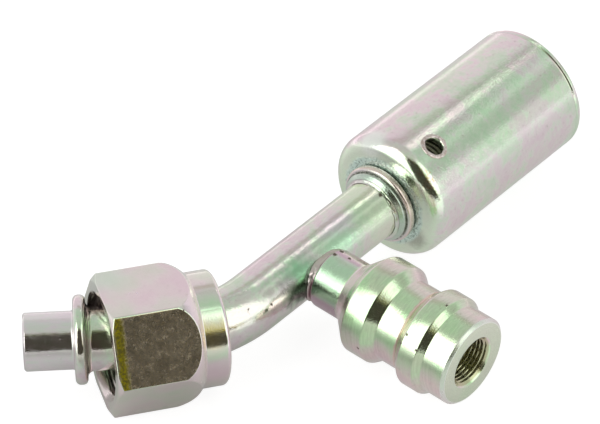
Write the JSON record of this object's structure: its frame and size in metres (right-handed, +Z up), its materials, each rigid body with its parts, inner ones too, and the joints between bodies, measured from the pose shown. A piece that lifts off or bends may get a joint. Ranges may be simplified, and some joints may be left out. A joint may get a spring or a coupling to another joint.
{
  "type": "crimp hose fitting",
  "caption": "Bent plated steel tube fitting: crimp shell over a barbed hose stem, captive swivel nut behind a beaded pilot end, and a brazed side service port.",
  "frame": {"origin": "centre of the bounding box's base, on the floor that the fitting lies on", "axes": "+X from the swivel nut's side to the crimp shell's open end, with the shell's axis over X; +Y to the inside of the bend, away from the service port; +Z up"},
  "size_m": [0.098, 0.056, 0.0217],
  "materials": {
    "tube_zinc": "bright zinc plating with a faint pink and green sheen",
    "nut_zinc": "bright zinc plating with a faint pink and green sheen",
    "stem_zinc": "bright zinc plating with a faint pink and green sheen",
    "shell_zinc": "bright zinc plating with a faint pink and green sheen",
    "port_zinc": "bright zinc plating with a faint pink and green sheen",
    "stem_filler": "plated braze filler, slightly rough",
    "port_filler": "plated braze filler, slightly rough and stained",
    "core_brass": "machined brass",
    "gasket_white": "matte",
    "seal_black": "matte",
    "spring_steel": "drawn wire"
  },
  "bodies": {
    "fitting_body": {"bent_tube": "tube_zinc", "hose_stem": "stem_zinc", "crimp_shell": "shell_zinc", "stem_braze": "stem_filler", "service_port": "port_zinc", "port_braze": "port_filler", "valve_core_plug": "core_brass", "valve_core_barrel": "core_brass", "barrel_gasket": "gasket_white", "valve_spring": "spring_steel"},
    "nut": {"swivel_nut": "nut_zinc"},
    "valve": {"valve_pin": "core_brass", "valve_cup": "core_brass", "valve_cup_seal": "seal_black"}
  },
  "joints": [
    {"name": "nut_spin", "type": "hinge", "parent": "fitting_body", "child": "nut", "pos_m": [-0.03109, 0.00974, 0.00962], "axis": [0.8383, -0.5439, -0.0368], "continuous": true},
    {"name": "valve_press", "type": "slide", "parent": "fitting_body", "child": "valve", "axis": [-0.0016, 0.997, 0.0768], "range_m": [0, 0.0012], "stiffness_N_per_m": 400, "springref_m": -0.002, "deforming": ["valve_spring"]}
  ]
}
